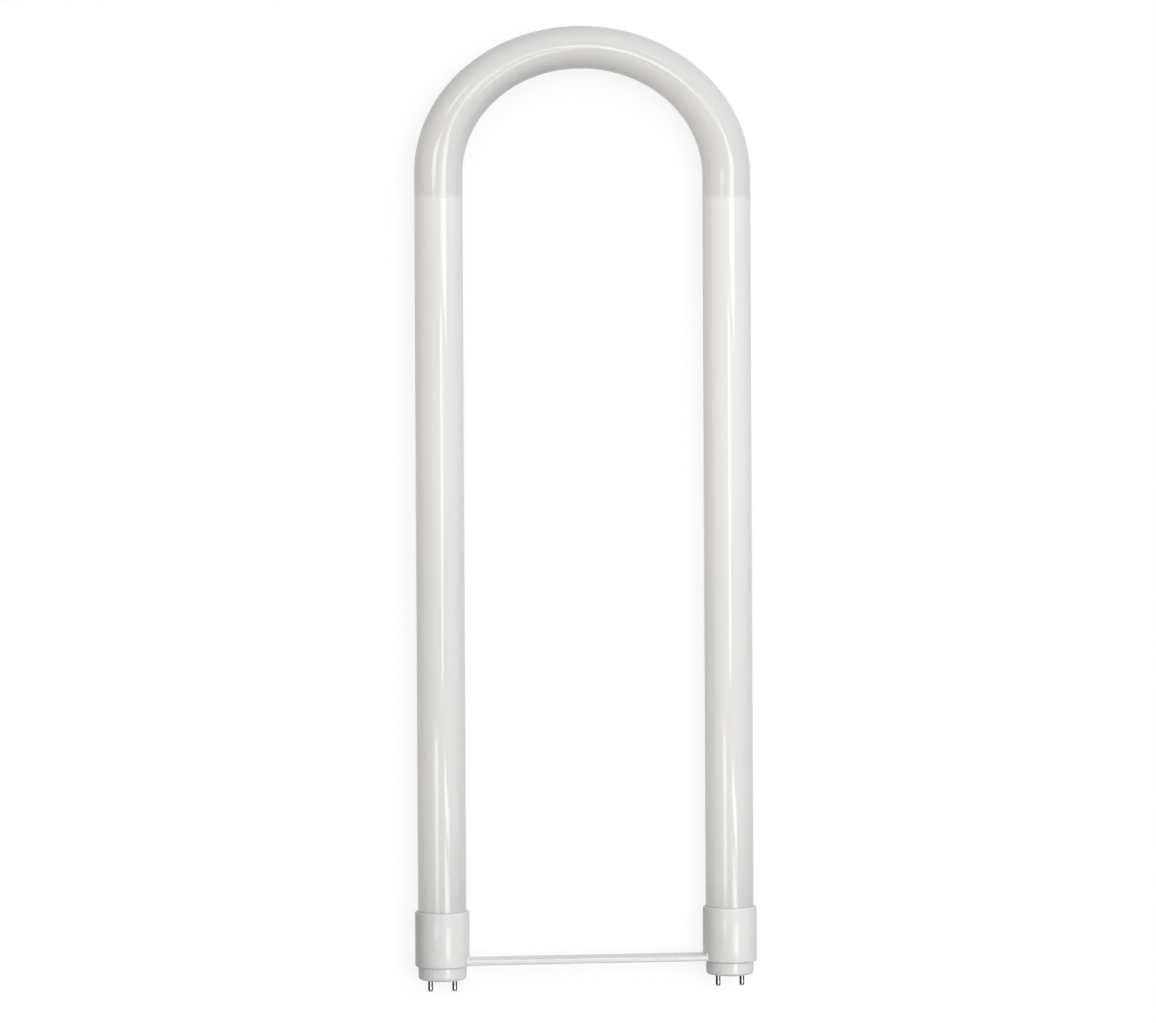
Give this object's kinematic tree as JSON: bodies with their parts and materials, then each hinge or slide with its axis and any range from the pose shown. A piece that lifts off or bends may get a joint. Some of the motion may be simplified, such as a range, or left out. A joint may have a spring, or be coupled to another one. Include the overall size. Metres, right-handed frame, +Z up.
{
  "type": "u shaped fluorescent bulb",
  "caption": "U-shaped tube lamp of opal glass, with white moulded end fittings joined by a flat bar, and contact pins at both ends.",
  "frame": {"origin": "under the middle of the lamp as it lies flat, on the surface that it lies on", "axes": "+X across the legs, from the left one to the right one; +Y along the legs, from the pins to the bend; +Z up from the surface"},
  "size_m": [0.1812, 0.507, 0.0288],
  "materials": {
    "opal_glass": "smooth opal glass, not see-through",
    "bracket_plastic": "moulded white, low gloss",
    "base_plastic": "moulded white, low gloss",
    "pin_plating": "nickel plated"
  },
  "bodies": {
    "root": {"glass_tube": "opal_glass", "tie_bracket": "bracket_plastic", "end_cap_left": "base_plastic", "end_cap_right": "base_plastic", "pin_left_outer": "pin_plating", "pin_left_inner": "pin_plating", "pin_right_inner": "pin_plating", "pin_right_outer": "pin_plating"}
  },
  "joints": []
}
